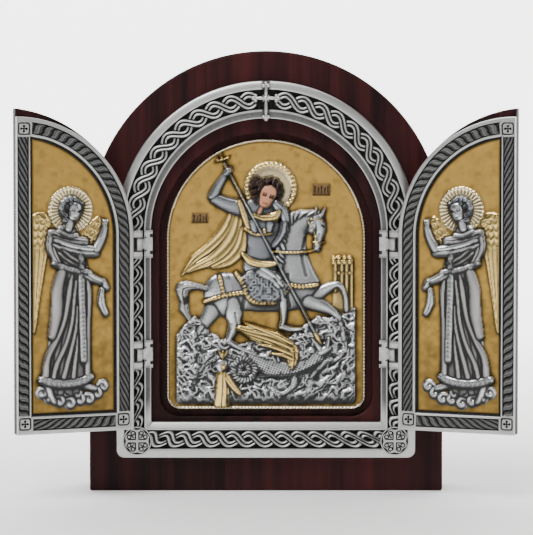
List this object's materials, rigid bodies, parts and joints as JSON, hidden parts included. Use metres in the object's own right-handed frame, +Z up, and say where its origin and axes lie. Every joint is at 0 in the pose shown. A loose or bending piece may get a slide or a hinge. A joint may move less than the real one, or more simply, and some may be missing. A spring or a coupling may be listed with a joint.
{
  "type": "triptych altarpiece",
  "caption": "Standing arched wooden altarpiece with a knotwork metal frame round a relief plate, and hinged half-arched wings that close over it.",
  "frame": {"origin": "middle of the board's flat underside, halfway through its thickness", "axes": "+X to the right of someone facing the front, +Y from the front to the back, +Z up"},
  "size_m": [0.2772, 0.0712, 0.249],
  "materials": {
    "wood": "satin red-brown stain",
    "pewter": "antiqued, dark in the hollows",
    "gilt_plate": "matt gilt ground with silvered and gilt figures",
    "hinge_metal": "satin"
  },
  "bodies": {
    "board": {"back_board": "wood", "arch_frame": "pewter", "icon_plate": "gilt_plate", "left_upper_hinge_frame_leaf": "hinge_metal", "left_upper_hinge_pin": "hinge_metal", "left_lower_hinge_frame_leaf": "hinge_metal", "left_lower_hinge_pin": "hinge_metal", "right_upper_hinge_frame_leaf": "hinge_metal", "right_upper_hinge_pin": "hinge_metal", "right_lower_hinge_frame_leaf": "hinge_metal", "right_lower_hinge_pin": "hinge_metal"},
    "left_wing": {"left_wing_board": "wood", "left_wing_border": "pewter", "left_wing_plate": "gilt_plate", "left_upper_hinge_wing_leaf": "hinge_metal", "left_lower_hinge_wing_leaf": "hinge_metal"},
    "right_wing": {"right_wing_board": "wood", "right_wing_border": "pewter", "right_wing_plate": "gilt_plate", "right_upper_hinge_wing_leaf": "hinge_metal", "right_lower_hinge_wing_leaf": "hinge_metal"}
  },
  "joints": [
    {"name": "left_wing_hinge", "type": "hinge", "parent": "board", "child": "left_wing", "pos_m": [-0.071, -0.0267, 0.11], "axis": [0, 0, 1], "range_deg": [-21, 159]},
    {"name": "right_wing_hinge", "type": "hinge", "parent": "board", "child": "right_wing", "pos_m": [0.071, -0.0267, 0.11], "axis": [0, 0, -1], "range_deg": [-21, 159]}
  ]
}
